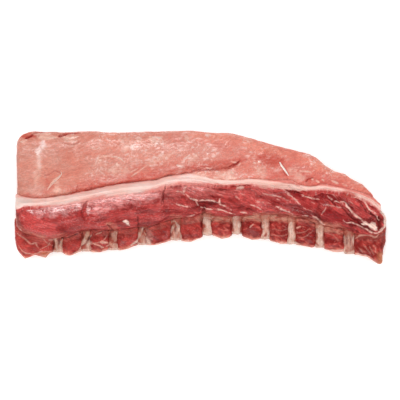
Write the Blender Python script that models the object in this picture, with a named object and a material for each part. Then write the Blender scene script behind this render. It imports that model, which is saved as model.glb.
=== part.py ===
"""A raw rack of meaty pork back ribs, lying bone side down.

Eleven rib bones run across the rack with a strip of rib meat between each two. On this layer lie two
long muscles: the dark cap muscle in front and the pale loin behind, with a band of fat between them.
X runs along the rack, Y across it from the rib ends to the loin, Z up. The origin is the middle of the
rack's box, on the surface that it lies on. Lengths are in millimetres until a mesh is placed.
"""

import math

import bmesh
import bpy

MM = 0.001

# Driving dimensions
GAP = 0.4  # between pieces that touch side by side
STACKED_GAP = 0.7  # between the long muscles and the layer under them
SLAB = 13.0  # thickness of the layer of bones and rib meat
ARCH = 5.0  # rise of the rack's underside in its middle, where the rack is widest
WIDEST = 122.0  # width of the rack where the arch is that high
BONE_WIDTH = 9.0
BONE_END_HEIGHT = 10.8  # where it shows in front of the cap muscle; it is as thick as the layer elsewhere
BONE_FAN = 0.96  # how far the bones draw together towards the loin
MEMBRANE = 1.0  # how far the meat's underside lies above the bones'
BULGE = 1.6  # how far the rib meat swells above the layer, in front of the cap muscle
OVERHANG = 1.2  # how far it swells over a bone's side
LOIN_OVERLAP = 4.0  # how far the loin reaches past the layer under it
FAT_THICKNESS = 3.0
STATION = 6.0  # spacing of the cross-sections along the two long muscles

# Plan outlines, as (x, y) points
BACK_EDGE = [
    (-189, 58.9), (-186, 63), (-181, 66), (-173.5, 67.8), (-145, 66.6), (-108.5, 68.3), (-95, 66.6),
    (-37, 68.2), (-11, 68.9), (13, 66.5), (26, 67), (41, 64), (77, 53.8), (102.5, 47), (116, 43),
    (135.5, 28), (143, 25.2), (151, 23.5), (157, 17.7), (165, 15), (172.5, 8.4), (178, 2.8),
    (180, -2.9), (185, -9), (190, -15), (192, -21),
]
SEAM = [
    (-189, 0.7), (-170.5, -1.9), (-150, 0.4), (-109, 8.1), (-88, 12.9), (-67.5, 16), (-47, 17.7),
    (-31.5, 22), (-16, 22.4), (0, 20.8), (17, 16.4), (35.5, 15.7), (51, 17.2), (77, 15.7), (92, 16.2),
    (107.5, 9.5), (115, 8.4), (125, 11.5), (138.5, 9.5), (154, 6.6), (164, 3.8), (174.5, -0.5),
    (180, -4), (185, -9.1), (190, -15.2), (192, -21.4),
]
CAP_FRONT = [
    (-189.5, -24.5), (-188, -31.7), (-184, -35.8), (-175.5, -39.4), (-165, -42.3), (-155, -43),
    (-134.5, -38.9), (-120, -35.5), (-81, -32.8), (-47, -28.6), (-31.5, -23), (-6, -21), (3, -17.3),
    (25, -20.2), (56, -18.5), (102.5, -21.4), (123, -28.4), (151, -34.8), (176.5, -40), (185, -38.5),
    (190, -31.7), (192, -23.5),
]
FRONT_EDGE = [
    (-192, -39), (-191, -50.3), (-188, -56), (-184, -60.6), (-180, -64.2), (-177, -62.6), (-173.5, -59.5),
    (-169.5, -59.5), (-165.5, -63.1), (-162, -63.7), (-156, -57.7), (-148, -56.6), (-139.5, -58.7),
    (-134.5, -59.3), (-122, -55.4), (-116, -56.1), (-103.5, -55.9), (-93, -54), (-89, -54.8), (-80, -53.2),
    (-65.5, -49.6), (-54, -49), (-42, -47.7), (-28.5, -44.3), (-13, -44.9), (-6.5, -44.6), (3.6, -39.8),
    (9, -38.8), (20, -41.4), (26, -41.6), (37.5, -38.2), (46, -41), (56, -43.3), (64.5, -43.1),
    (75, -45.6), (89, -47.8), (107.5, -49.7), (114, -51.8), (119, -51), (126, -53.1), (135.5, -54.9),
    (147, -55.6), (153, -58.4), (164.5, -60), (172.5, -62.1), (178, -64.7), (183, -68.6), (186.5, -68.8),
    (188.5, -63),
]
# The same two edges without their scallops, which the arch of the underside follows
PLAIN_FRONT = [(-192, -57), (-100, -55), (-30, -45), (10, -40), (40, -40), (80, -46), (150, -58), (192, -66)]
PLAIN_BACK = [
    (-190, 64), (-36, 66), (26, 65), (77, 52), (116, 41), (143, 24), (165, 13), (180, -4), (192, -22),
]
# The two ends of that layer, as (y, x) points
RIGHT_SIDE = [(-69, 187.5), (-60, 187.5), (-42, 189.3), (-21, 191.5)]
LEFT_SIDE = [(-64, -184), (-58, -188.5), (-50, -191.5), (-39, -192), (-28, -191.5), (-20, -188.5), (0, -187.3)]

# Heights above the layer of bones, and the width of fat that shows, as (x, value) points
CAP_HEIGHT = [(-189, 20), (-160, 24), (-100, 25), (-60, 24), (0, 20), (60, 18), (120, 16.5), (165, 13), (192, 7)]
LOIN_HEIGHT = [(-189, 16), (-150, 17.5), (-60, 18.5), (0, 16.5), (60, 13.5), (110, 10.5), (150, 8), (180, 5)]
FAT_SHOWN = [(-189, 18), (-184, 11), (-178, 8), (-150, 6.5), (-60, 9), (0, 6), (20, 4), (60, 5), (150, 3), (192, 5)]
CAP_ROUNDNESS = 2.3
LOIN_ROUNDNESS = 3.0

# Where each bone ends in front
BONE_ENDS = [-147.3, -118.5, -90.2, -60.3, -25.4, 6.7, 37.6, 67.0, 94.4, 123.3, 153.5]

# Creases and nicks of the long muscles: depth, half width, then (x, y) points along it
CAP_CREASES = [
    (3.0, 4.0, (-116, -3), (-119, -18), (-121, -36)),
    (2.6, 4.0, (-34.5, 16), (-37.6, 7), (-37, -11)),
    (2.6, 4.0, (3.6, -8), (2.6, -24)),
    (2.4, 4.5, (149, -6), (157, -17), (171, -27), (181, -34)),
    (1.6, 6.0, (123, -6), (119, -24)),
]
LOIN_CREASES = [
    (3.2, 4.5, (-31, 23), (-16, 26.5), (5, 28.5), (25, 29.8), (35, 32), (40, 36)),
    (3.0, 4.0, (-181, 60), (-170, 64)),
    (2.6, 4.0, (-147, 62), (-139, 65)),
]


def smooth(points):
    """A function through (x, value) points, in cubic pieces that don't swing past them."""
    steps = [(b[1] - a[1]) / (b[0] - a[0]) for a, b in zip(points, points[1:])]
    slopes = [steps[0]]
    for before, after in zip(steps, steps[1:]):
        slopes.append(2 * before * after / (before + after) if before * after > 0 else 0.0)
    slopes.append(steps[-1])

    def value(x):
        x = min(max(x, points[0][0]), points[-1][0])
        i = 0
        while i < len(points) - 2 and x > points[i + 1][0]:
            i += 1
        (x0, v0), (x1, v1) = points[i], points[i + 1]
        width = x1 - x0
        t = (x - x0) / width
        start = v0 * (1 + 2 * t) + slopes[i] * width * t
        end = v1 * (3 - 2 * t) - slopes[i + 1] * width * (1 - t)
        return start * (1 - t) ** 2 + end * t**2

    return value


back_edge, seam, cap_front, front_edge = smooth(BACK_EDGE), smooth(SEAM), smooth(CAP_FRONT), smooth(FRONT_EDGE)
plain_front, plain_back = smooth(PLAIN_FRONT), smooth(PLAIN_BACK)
right_side, left_side = smooth(RIGHT_SIDE), smooth(LEFT_SIDE)
cap_height, loin_height, fat_shown = smooth(CAP_HEIGHT), smooth(LOIN_HEIGHT), smooth(FAT_SHOWN)


def ease(value):
    """0 to 1 smoothly as the value goes from 0 to 1."""
    value = min(max(value, 0.0), 1.0)
    return value * value * (3 - 2 * value)


def mix(a, b, share):
    return a + (b - a) * share


def arch(x, y):
    """Height of the rack's underside: a shallow arch from its front edge to its back edge."""
    front, back = plain_front(x), plain_back(x)
    half = (back - front) / 2 - 4
    rise = ARCH * (2 * half / WIDEST) ** 2
    return rise * max(0.0, 1 - ((y - (front + back) / 2) / half) ** 2)


def rounding(distance, radius):
    """How far a rounded end draws a section in, at a distance from that end."""
    if distance >= radius:
        return 0.0
    return radius - math.sqrt(radius**2 - (radius - distance) ** 2)


def dome(share, roundness):
    """Height of a rounded section across its width, 1 in the middle and 0 at both sides."""
    return max(0.0, 1 - abs(2 * share - 1) ** roundness) ** (1 / roundness)


def swell(x, y):
    """The slow unevenness of a muscle's surface."""
    return 0.5 * math.sin(x / 13 + y / 9) + 0.4 * math.sin(x / 7.3 - y / 11 + 1.7) + 0.3 * math.sin(x / 23 + y / 5)


def distance_to(x, y, points):
    """Distance from (x, y) to a line through points."""
    nearest = math.inf
    for (x0, y0), (x1, y1) in zip(points, points[1:]):
        dx, dy = x1 - x0, y1 - y0
        t = min(max(((x - x0) * dx + (y - y0) * dy) / (dx * dx + dy * dy), 0.0), 1.0)
        nearest = min(nearest, math.hypot(x - x0 - t * dx, y - y0 - t * dy))
    return nearest


def sunk(x, y, creases):
    """How deep the creases lie at (x, y)."""
    deepest = 0.0
    for depth, half_width, *points in creases:
        deepest = max(deepest, depth * ease(1 - distance_to(x, y, points) / half_width))
    return deepest


def material(name, colour, roughness):
    made = bpy.data.materials.new(name)
    made.use_nodes = True
    made.diffuse_color = (*colour, 1)
    shader = made.node_tree.nodes["Principled BSDF"]
    shader.inputs["Base Color"].default_value = (*colour, 1)
    shader.inputs["Roughness"].default_value = roughness
    shader.inputs["Metallic"].default_value = 0.0
    return made


def solid(name, sections, finish):
    """A closed solid through cross-sections, each a ring of (x, y, z) points: a grid wrapped round them."""
    rings, around = len(sections), len(sections[0])
    mesh = bmesh.new()
    bmesh.ops.create_grid(mesh, x_segments=around, y_segments=rings - 1, size=1)
    for vertex in list(mesh.verts):
        ring = round((vertex.co.y + 1) / 2 * (rings - 1))
        point = round((vertex.co.x + 1) / 2 * around) % around
        x, y, z = sections[ring][point]
        vertex.co = (x * MM, y * MM, z * MM)
    bmesh.ops.remove_doubles(mesh, verts=mesh.verts, dist=1e-6)
    open_edges = [edge for edge in mesh.edges if edge.is_boundary]
    bmesh.ops.holes_fill(mesh, edges=open_edges, sides=0)
    bmesh.ops.triangulate(mesh, faces=mesh.faces)
    bmesh.ops.recalc_face_normals(mesh, faces=mesh.faces)
    data = bpy.data.meshes.new(name)
    mesh.to_mesh(data)
    mesh.free()
    data.shade_smooth()
    data.materials.append(finish)
    piece = bpy.data.objects.new(name, data)
    bpy.context.scene.collection.objects.link(piece)
    return piece


def stations(start, end, extra=()):
    """Places of cross-sections from start to end, closer at the rounded ends and beside each extra place."""
    count = round((end - start) / STATION)
    places = {start + (end - start) * i / count for i in range(count + 1)}
    places |= {start + 1.0, start + 3.0, end - 1.0, end - 3.0}
    for x in extra:
        places = {place for place in places if abs(place - x) > 5} | {x - 4.0, x, x + 4.0}
    return sorted(places)


# The two long muscles and the fat between them

CAP_START, CAP_END = -189.5, 191.0
FAT_END = 187.0
LOIN_START, LOIN_END = -189.0, 179.0
CREASED_AT = (-118.5, -36.8, 3.2)
FAT_STEPS = (0.0, 0.06, 0.22, 0.5, 0.8, 1.0)
CAP_STEPS = (0.12, 0.26, 0.4, 0.54, 0.67, 0.79, 0.89, 0.96, 1.0)
LOIN_STEPS = (0.0, 0.02, 0.07, 0.13, 0.2, 0.28, 0.38, 0.5, 0.62, 0.74, 0.85, 0.93, 0.98, 1.0)


def cap_envelope(x, share):
    """Outer surface of the cap muscle with its fat: (y, z) at a share of its width from the seam forward."""
    back, front = seam(x) - GAP / 2, cap_front(x)
    end = rounding(x - CAP_START, 9.0) + rounding(CAP_END + 1 - x, 8.0)
    height = max(cap_height(x) - end, 3.0)
    y = mix(back, front, share)
    base = arch(x, y) + SLAB + STACKED_GAP
    shape = dome(share, CAP_ROUNDNESS)
    return y, base + height * shape + (swell(x, y) - sunk(x, y, CAP_CREASES)) * shape


def fat_depth(x, step):
    """Thickness of the fat at a step of the width that it covers, thin where it ends."""
    width = seam(x) - cap_front(x)
    return min(FAT_THICKNESS, 0.2 * width) * math.sqrt(1 - 0.97 * step**2)


def below_fat(x, step, extra):
    """(y, z) under the fat: the envelope drawn towards the middle of the section."""
    y, z = cap_envelope(x, step * fat_share(x))
    y_mid = mix(seam(x), cap_front(x), 0.5)
    z_mid = arch(x, y_mid) + SLAB + STACKED_GAP + 0.2 * cap_height(x)
    reach = math.hypot(y - y_mid, z - z_mid)
    kept = 1 - (fat_depth(x, step) + extra) / reach
    y, z = y_mid + (y - y_mid) * kept, z_mid + (z - z_mid) * kept
    return y, max(z, arch(x, y) + SLAB + STACKED_GAP)


def fat_share(x):
    return min(fat_shown(x) / (seam(x) - cap_front(x)), 0.45)


def cap_section(x):
    ring = [below_fat(x, step, GAP) for step in FAT_STEPS]
    ring += [cap_envelope(x, mix(fat_share(x), 1.0, step)) for step in CAP_STEPS]
    for share in (0.66, 0.33):
        y = mix(ring[0][0], ring[-1][0], share)
        ring.append((y, arch(x, y) + SLAB + STACKED_GAP))
    return [(x, y, z) for y, z in ring]


def fat_section(x):
    ring = [cap_envelope(x, step * fat_share(x)) for step in FAT_STEPS]
    ring += [below_fat(x, step, 0.0) for step in reversed(FAT_STEPS)]
    return [(x, y, z) for y, z in ring]


def loin_section(x):
    end = rounding(x - LOIN_START, 5.0)
    front, back = seam(x) + GAP / 2 + end / 3, back_edge(x) - end / 3
    height = max(loin_height(x) - end, 2.0)
    ring = []
    for share in LOIN_STEPS:
        y = mix(front, back, share)
        shape = dome(share, LOIN_ROUNDNESS)
        relief = swell(x, y) - sunk(x, y, LOIN_CREASES)
        ring.append((x, y, arch(x, y) + SLAB + STACKED_GAP + height * shape + relief * shape))
    for share in (0.66, 0.33):
        y = mix(front, back, share)
        ring.append((x, y, arch(x, y) + SLAB + STACKED_GAP))
    return ring


def long_muscles():
    places = stations(CAP_START, CAP_END, CREASED_AT)
    cap = [cap_section(x) for x in places]
    solid("cap_muscle", cap, material("dark_meat", (0.33, 0.035, 0.033), 0.38))
    fat = [fat_section(x) for x in places if x < FAT_END]
    solid("seam_fat", fat, material("fat", (0.86, 0.68, 0.60), 0.42))
    loin = [loin_section(x) for x in stations(LOIN_START, LOIN_END)]
    solid("loin", loin, material("pale_meat", (0.74, 0.30, 0.24), 0.36))


# The layer of bones and rib meat under them

SLAB_STEPS = (0.0, 0.2, 0.4, 0.58, 0.68, 0.76, 0.83, 0.89, 0.94, 0.975, 1.0)
BONE_STEPS = (0.0, 0.03, 0.3, 0.55, 0.7, 0.85, 0.97, 1.0)
BONE_SIDES = 8
FRONT_ROUNDING = 0.9  # share of a strip's length where its front end begins to round off


def along(x, step):
    """y at a share of the layer's width, from under the loin to the front edge."""
    return mix(back_edge(x) - LOIN_OVERLAP, front_edge(x), step)


def bone_x(number, step):
    end = BONE_ENDS[number]
    return end * mix(BONE_FAN, 1.0, min(1.0, step / 0.8))


def layer_top(x, y):
    """Top of the rib meat: flat under the long muscles, swollen in front of them."""
    shown = ease((cap_front(x) - 1.0 - y) / 7.0)
    return arch(x, y) + SLAB + BULGE * shown


def meat_sides(number, step):
    """Left and right limits of a strip of rib meat at a step of its length."""
    clear = BONE_WIDTH / 2 + GAP
    y = along(BONE_ENDS[min(number, len(BONE_ENDS) - 1)], step)
    left = bone_x(number - 1, step) + clear if number else left_side(y)
    right = bone_x(number, step) - clear if number < len(BONE_ENDS) else right_side(y)
    return left, right


def blunted(value, power):
    """A sine or cosine to a power under 1, which squares a circle off."""
    return math.copysign(abs(value) ** power, value)


def meat_section(number, step, around):
    left, right = meat_sides(number, step)
    at_left_end, at_right_end = number == 0, number == len(BONE_ENDS)
    blunt = max(0.0, (step - FRONT_ROUNDING) / (1 - FRONT_ROUNDING))
    kept = math.sqrt(1 - 0.94 * blunt**2)
    ring = []
    for i in range(around):
        angle = 2 * math.pi * i / around
        across, upward = blunted(math.cos(angle), 0.5), blunted(math.sin(angle), 0.5)
        swollen = OVERHANG * ease((step - 0.6) / 0.15) * ease(upward * 1.6 - 0.45)
        low = left - swollen * (not at_left_end)
        high = right + swollen * (not at_right_end)
        x = mix(low, high, (across + 1) / 2)
        y = along(x, step)
        bottom = arch(x, y) + MEMBRANE
        top = layer_top(x, y)
        middle = mix(bottom, top, 0.42)
        half = (top - middle if upward > 0 else middle - bottom) * kept
        ring.append((x, y, middle + half * upward))
    return ring


def bone_section(number, step):
    x_mid = bone_x(number, step)
    y = along(x_mid, step)
    end = 0.82 if step in (BONE_STEPS[0], BONE_STEPS[-1]) else 1.0
    height = mix(SLAB, BONE_END_HEIGHT, ease((step - 0.55) / 0.2))
    base = arch(x_mid, y)
    ring = []
    for i in range(BONE_SIDES):
        angle = 2 * math.pi * (i + 0.5) / BONE_SIDES
        across, upward = blunted(math.cos(angle), 0.85), blunted(math.sin(angle), 0.85)
        widest = math.cos(math.pi / BONE_SIDES) ** 0.85
        x = x_mid + across / widest * BONE_WIDTH / 2 * end
        ring.append((x, y, base + height / 2 * (1 + upward / widest * end)))
    return ring


def bones_and_rib_meat():
    bone = material("bone", (0.80, 0.66, 0.58), 0.45)
    meat = material("rib_meat", (0.36, 0.04, 0.036), 0.38)
    for number in range(len(BONE_ENDS)):
        sections = [bone_section(number, step) for step in BONE_STEPS]
        solid(f"rib_bone_{number + 1:02d}", sections, bone)
    for number in range(len(BONE_ENDS) + 1):
        outer = number in (0, len(BONE_ENDS))
        around = 20 if outer else 12
        sections = [meat_section(number, step, around) for step in SLAB_STEPS]
        solid(f"rib_meat_{number + 1:02d}", sections, meat)


def main():
    for old in list(bpy.data.objects):
        bpy.data.objects.remove(old)
    long_muscles()
    bones_and_rib_meat()


main()
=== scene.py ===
"""A raw rack of meaty pork back ribs, lying bone side down.

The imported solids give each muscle, strip and bone its place and size. Here each gets its real surface:
muscle fibres, wet silver skin, creases, and the fat and gristle that run through the meat. Blender works in
metres; what is worked out for a surface is in millimetres, in the same frame.
"""

import math

import bmesh
import bpy
import numpy as np
from mathutils.bvhtree import BVHTree
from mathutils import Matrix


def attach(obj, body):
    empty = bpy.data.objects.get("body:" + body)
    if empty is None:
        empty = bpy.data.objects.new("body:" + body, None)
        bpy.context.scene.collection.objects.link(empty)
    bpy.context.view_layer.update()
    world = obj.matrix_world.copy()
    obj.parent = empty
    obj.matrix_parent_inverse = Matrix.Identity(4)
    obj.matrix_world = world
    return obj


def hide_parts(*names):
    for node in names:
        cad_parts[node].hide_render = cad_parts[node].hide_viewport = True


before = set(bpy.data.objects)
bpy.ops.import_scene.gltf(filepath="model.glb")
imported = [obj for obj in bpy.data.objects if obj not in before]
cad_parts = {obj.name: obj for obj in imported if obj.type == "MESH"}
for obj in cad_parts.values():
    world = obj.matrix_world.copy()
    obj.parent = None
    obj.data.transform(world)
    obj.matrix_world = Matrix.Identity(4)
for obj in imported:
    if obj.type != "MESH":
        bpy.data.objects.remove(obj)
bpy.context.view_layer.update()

MM = 0.001


# The camera
# It looks straight down from high above, through a long lens, so that the rack shows almost without
# perspective, with a little room round it.

CAMERA_HEIGHT = 4.0
SEEN_WIDTH = 0.412
SEEN_AT_HEIGHT = 0.018  # where that width is measured: half way up the rack
VIEW_CENTRE = (-0.0005, -0.0029)


def placed(name, data):
    """A new object in the scene, at the origin."""
    made = bpy.data.objects.new(name, data)
    bpy.context.scene.collection.objects.link(made)
    return made


lens = bpy.data.cameras.new("camera")
lens.sensor_width = 36
lens.lens = lens.sensor_width * (CAMERA_HEIGHT - SEEN_AT_HEIGHT) / SEEN_WIDTH
camera = placed("camera", lens)
camera.location = (*VIEW_CENTRE, CAMERA_HEIGHT)
bpy.context.scene.camera = camera


# The rib bones
# Eleven flattened ribs with their thin skin of gristle and scraps of meat still on them. They are sawn off
# in front, where the pale stripe of each shows between two strips of meat, and cut from the spine behind.

BONES = 11
BONE_SKIN = 0.9  # size of the faces of a finished surface, mm
BONE_SWELL = 1.0  # how far gristle swells it there
BONE_FILLED = 1.1  # how far more at its sides, until its top is level with the meat beside it
BONE_SPREAD = 0.3  # how far its sides reach into that meat
ROOT_HEIGHT = 5.0  # how far bones and rib meat rise to meet the front edge of the cap muscle
ROOT_REACH = 6.0  # how far in front of that edge the rise begins
ROOT_FALL = (16.0, 8.0)  # how far behind it the rise has ended, and over what length it falls
HIDDEN_UNDER_CAP = (7.0, 5.0)  # how far behind that edge nothing shows, and over what length it fades
MEMBRANE_FADE = 2.5
# The cap muscle's membrane over them there, by x: how thick it is, 0 to 1, and how far forward it lies, mm
MEMBRANE = [
    (-190, 0.1, 5), (-20, 0.15, 5), (5, 0.6, 5), (30, 0.9, 5), (96, 0.9, 4.5), (105, 0.3, 3), (117, 0.3, 3),
    (124, 1, 4.5), (137, 0.8, 3), (152, 0.4, 3), (165, 0.1, 3),
]
BONE_PLAIN = (0.50, 0.25, 0.18)
BONE_PINK = (0.42, 0.12, 0.085)
BONE_FLESH = (0.36, 0.065, 0.042)
GRISTLE_COLOUR = (0.70, 0.465, 0.38)
GRISTLE_BROWN = (0.54, 0.24, 0.16)
MEMBRANE_BROWN = (0.43, 0.08, 0.052)
MEMBRANE_PALE = (0.62, 0.27, 0.19)
MARROW = (0.26, 0.05, 0.035)
BONE_HEIGHT = 12.0
MARROW_WIDTH = 2.8  # from the middle of the sawn end to the marrow's side
MARROW_MIDDLE, MARROW_SHARE = 0.45, 0.26  # its middle, and half its height, as shares of the bone's height
BLOOD_DEPTH = 2.0  # how far light goes into the meat, mm
# Pale gristle on the bones and on the sides of the meat beside them, as strokes in plan: how wide and how
# pale each is, then the x and y of its points, mm. Two widths are those of its two ends.
GRISTLE = [
    (2.2, 0.85, -148.9, -43.6, -148, -46, -147.6, -51, -147.4, -57), (3, 0.5, -156, -43.5, -148, -41.5),
    ((2.4, 4.4), 1, -143.5, -43.4, -143.8, -50, -144.3, -57), (4.5, 0.4, -146.5, -52, -146, -57),
    ((4.2, 1.8), 1, -117.3, -36.5, -117.4, -40.4, -119.2, -43.8, -121, -48.1, -123.4, -52.2),
    (1.6, 0.8, -123, -51.5, -126, -54.4, -131, -57.5), (1.6, 0.8, -112, -38.8, -113.5, -41.7, -115, -45),
    (6, 0.7, -114.6, -44, -115, -55), (5, 0.55, -88.6, -35.5, -88.8, -45.5),
    (1.6, 0.85, -86.9, -35.5, -87.4, -42), (4.6, 0.6, -92, -48, -85, -52),
    (1.4, 0.6, -97.5, -51, -91.5, -46),
    (2.4, 1, -59.7, -31.6, -60.8, -35.2, -62.3, -38.8, -64.7, -42.5, -67.6, -46.3, -71.5, -49),
    ((1.6, 4.4), 0.95, -58.2, -36.5, -56.6, -40, -55, -44, -51.8, -48), (4, 0.5, -59.5, -39, -59.5, -48),
    (7, 0.3, -54.5, -34, -51, -43), (1.6, 0.9, -27.2, -24.4, -30.4, -27),
    (2.2, 0.9, -26.9, -28.5, -28.8, -33, -29.6, -38), (5, 0.4, -25.5, -33, -25, -43),
    ((1.6, 3.2), 0.9, -26.3, -24.5, -23.4, -32, -19.6, -43), (1.4, 0.6, -25.5, -38, -27.5, -41, -33, -43.5),
    ((4.6, 6.2), 1, 4.2, -20, 6.4, -25, 7.7, -29, 8.2, -34, 8.2, -40),
    (2, 0.7, 6, -20, 10, -21.5, 14, -19.5), ((7.2, 3.6), 1, 36.2, -19, 37.4, -28, 37.8, -39),
    ((4.4, 4), 1, 66.4, -23, 67, -33), (1.8, 0.9, 66.5, -32, 64, -41), (2.6, 0.9, 67.6, -31, 69.4, -42),
    (1.6, 0.6, 71.2, -25, 70.6, -40), ((4.2, 5), 1, 93.2, -26, 93.9, -36, 93.2, -48),
    (2.4, 0.7, 94, -46, 104, -49), ((5.2, 4.2), 1, 123.3, -29, 123.6, -40, 124, -51),
    (2.2, 1, 148.9, -39, 149.2, -47, 149.8, -57), (2, 0.9, 157, -40, 157.8, -48, 158.4, -58),
    (1.6, 0.5, 153, -39, 154, -57), (8, 0.35, 153, -38, 154, -58),
]
# The clefts beside the bones and in front of the cap muscle: carved in, and darkened with painted shade
CLEFTS = [
    (1.3, 1, -145.8, -42.6, -145.6, -45.8, -146.3, -49),
    (2, 0.9, -150.6, -44.5, -150.6, -49, -151.8, -53.5),
    (1.5, 1, -146, -42.6, -142, -42.1, -136.3, -41.2, -131, -39.8, -124, -37),
    (1.3, 0.9, -113.4, -38.2, -116.6, -43.4, -118.7, -47.3, -120.6, -50.2),
    (2.4, 0.8, -121.4, -36, -121.2, -42), (1.2, 0.7, -111.2, -35.4, -111.5, -39),
    (1.6, 0.9, -105.6, -35, -100.2, -34.8, -96.6, -33.6, -88, -34), (1.6, 0.7, -92.6, -35.5, -92.8, -42),
    (1.4, 0.8, -81.5, -32.4, -71.3, -31.4, -63.6, -31.5, -57.4, -31.4),
    (1.4, 0.8, -57.4, -31.4, -46.2, -28.7, -41.4, -25.6, -35.5, -24.6, -28.8, -23.2),
    (1.8, 0.9, -62.6, -31, -63.5, -34.3), (1.2, 0.9, -58.3, -31.4, -58.8, -34.8),
    (1, 0.7, -57.3, -40.5, -56.8, -45.4), (1.5, 0.9, -30.8, -29.4, -30.3, -34.3, -31.2, -39.1, -33.2, -42),
    (1.6, 0.8, -26.6, -31, -26, -36), (2.8, 0.85, 0.4, -19.5, 1, -26, 2.2, -31.5),
    (1.2, 0.6, 9.8, -25.5, 15, -22.5), (2.6, 0.85, 31.6, -22.5, 32, -29, 32, -35),
    (1.4, 0.7, 42, -26, 46, -24.5), (2, 0.7, 62.6, -25, 62.8, -33), (1.4, 0.7, 72.5, -27, 74, -26),
    (1.2, 0.6, 90.4, -33, 90, -43), (1.8, 0.9, 98, -28, 98.3, -33), (1.5, 0.8, 119, -31, 119.3, -46),
    (1.6, 0.8, 127, -33.5, 128, -36), (1.8, 0.8, 147.3, -38, 147, -48), (1.6, 0.8, 151.5, -40.5, 152, -48),
    (1.2, 0.7, 154.5, -42, 155, -50), (3, 0.4, 189, -36, 187, -54),
]
# Painted shade: the dark colour laid into clefts and creases
CLEFT_SHADE = (0.13, 0.007, 0.006)


def fine_copy(node, face_size, smoothing):
    """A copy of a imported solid, covered evenly with small faces and smoothed."""
    solid = bmesh.new()
    solid.from_mesh(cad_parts[node].data)
    bmesh.ops.remove_doubles(solid, verts=solid.verts, dist=1e-6)
    bmesh.ops.recalc_face_normals(solid, faces=solid.faces)
    rough = bpy.data.meshes.new(node + "_rough")
    solid.to_mesh(rough)
    solid.free()
    shaped = placed(node + "_rough", rough)
    skin = shaped.modifiers.new("skin", "REMESH")
    skin.mode = "VOXEL"
    skin.voxel_size = face_size * MM
    smooth = shaped.modifiers.new("smooth", "SMOOTH")
    smooth.factor = 0.5
    smooth.iterations = smoothing
    graph = bpy.context.evaluated_depsgraph_get()
    mesh = bpy.data.meshes.new_from_object(shaped.evaluated_get(graph))
    mesh.name = node + "_skin"
    mesh.shade_smooth()
    bpy.data.objects.remove(shaped)
    bpy.data.meshes.remove(rough)
    return placed(node + "_skin", mesh)


def surface(piece):
    """The places of a piece's points, mm, and which way each faces."""
    places, facing = np.empty((2, 3 * len(piece.data.vertices)), np.float32)
    piece.data.vertices.foreach_get("co", places)
    piece.data.vertex_normals.foreach_get("vector", facing)
    return places.reshape(-1, 3).astype(float) / MM, facing.reshape(-1, 3).astype(float)


def by_x(places, table, column=1):
    """What a table gives at each place, from one column, where its first column is x."""
    rows = np.asarray(table, float)
    return np.interp(places[:, 0], rows[:, 0], rows[:, column])


def on_top(facing, level, over):
    """1 on a piece's upper side, 0 where it faces down by more than level; over is the softness."""
    return ease((facing[:, 2] + level) / over)


def in_front_of_cap(places):
    """1 where a bone or strip shows in front of the cap muscle, 0 from a little way under it."""
    hidden_from, fade = HIDDEN_UNDER_CAP
    return ease((by_x(places, CAP_FRONT) + hidden_from - places[:, 1]) / fade)


def rise_to_cap(places, facing):
    """How far the top of a bone or strip rises to meet the front edge of the cap muscle, mm."""
    behind = places[:, 1] - by_x(places, CAP_FRONT)
    falls_to, fade = ROOT_FALL
    rise = ease(1 + behind / ROOT_REACH) * ease((falls_to - behind) / fade)
    return ROOT_HEIGHT * rise * on_top(facing, 0.2, 0.6)


def membrane(places, facing, seed):
    """How thickly the cap muscle's membrane lies over a bone or strip, 0 to 1, and its colours."""
    behind = places[:, 1] - by_x(places, CAP_FRONT) + 1.3 * lumps(places, 5, seed)
    share = by_x(places, MEMBRANE) * on_top(facing, 0.2, 0.6)
    share *= ease(1 + (behind + by_x(places, MEMBRANE, 2)) / MEMBRANE_FADE)
    streaks = ease(0.55 + 0.9 * lumps(places, (5, 1.5, 1.5), seed + 7))
    return share, blend(MEMBRANE_BROWN, MEMBRANE_PALE, streaks)


def thin_below(piece, kept):
    """Makes the faces on a piece's hidden underside fewer, until this share of all its faces is left."""
    below = piece.vertex_groups.new(name="below")
    below.add(np.flatnonzero(surface(piece)[1][:, 2] < -0.6).tolist(), 1, "REPLACE")
    fewer = piece.modifiers.new("fewer", "DECIMATE")
    fewer.ratio = kept
    fewer.vertex_group = "below"
    thinned = bpy.data.meshes.new_from_object(piece.evaluated_get(bpy.context.evaluated_depsgraph_get()))
    piece.modifiers.clear()
    piece.vertex_groups.clear()
    full, piece.data = piece.data, thinned
    bpy.data.meshes.remove(full)
    thinned.name = piece.name


def reshape(piece, places):
    """Moves a piece's points to new places, mm, none of them below the table."""
    places[:, 2] = np.maximum(places[:, 2], 0)
    piece.data.vertices.foreach_set("co", (places * MM).astype(np.float32).ravel())
    piece.data.update()


def ease(values):
    """0 to 1 smoothly as the values go from 0 to 1."""
    values = np.clip(values, 0, 1)
    return values * values * (3 - 2 * values)


def blend(colour, *coats):
    """A colour, or one for each point, under coats of others: each coat's colour, then its share, 0 to 1."""
    for coat, share in zip(coats[::2], coats[1::2]):
        share = np.clip(share, 0, 1)[:, None]
        colour = np.asarray(colour) * (1 - share) + np.asarray(coat) * share
    return colour


TABLE = 64  # lumps() repeats after this many lumps
# Two turns of the grid that lumps() is drawn on, so that its squares don't line up with the rack
GRID_TURNS = [
    np.array([[0.80, -0.36, 0.48], [0.60, 0.48, -0.64], [0, 0.80, 0.60]]),
    np.array([[0.36, 0.48, -0.80], [-0.80, 0.60, 0], [0.48, 0.64, 0.60]]),
]


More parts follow.
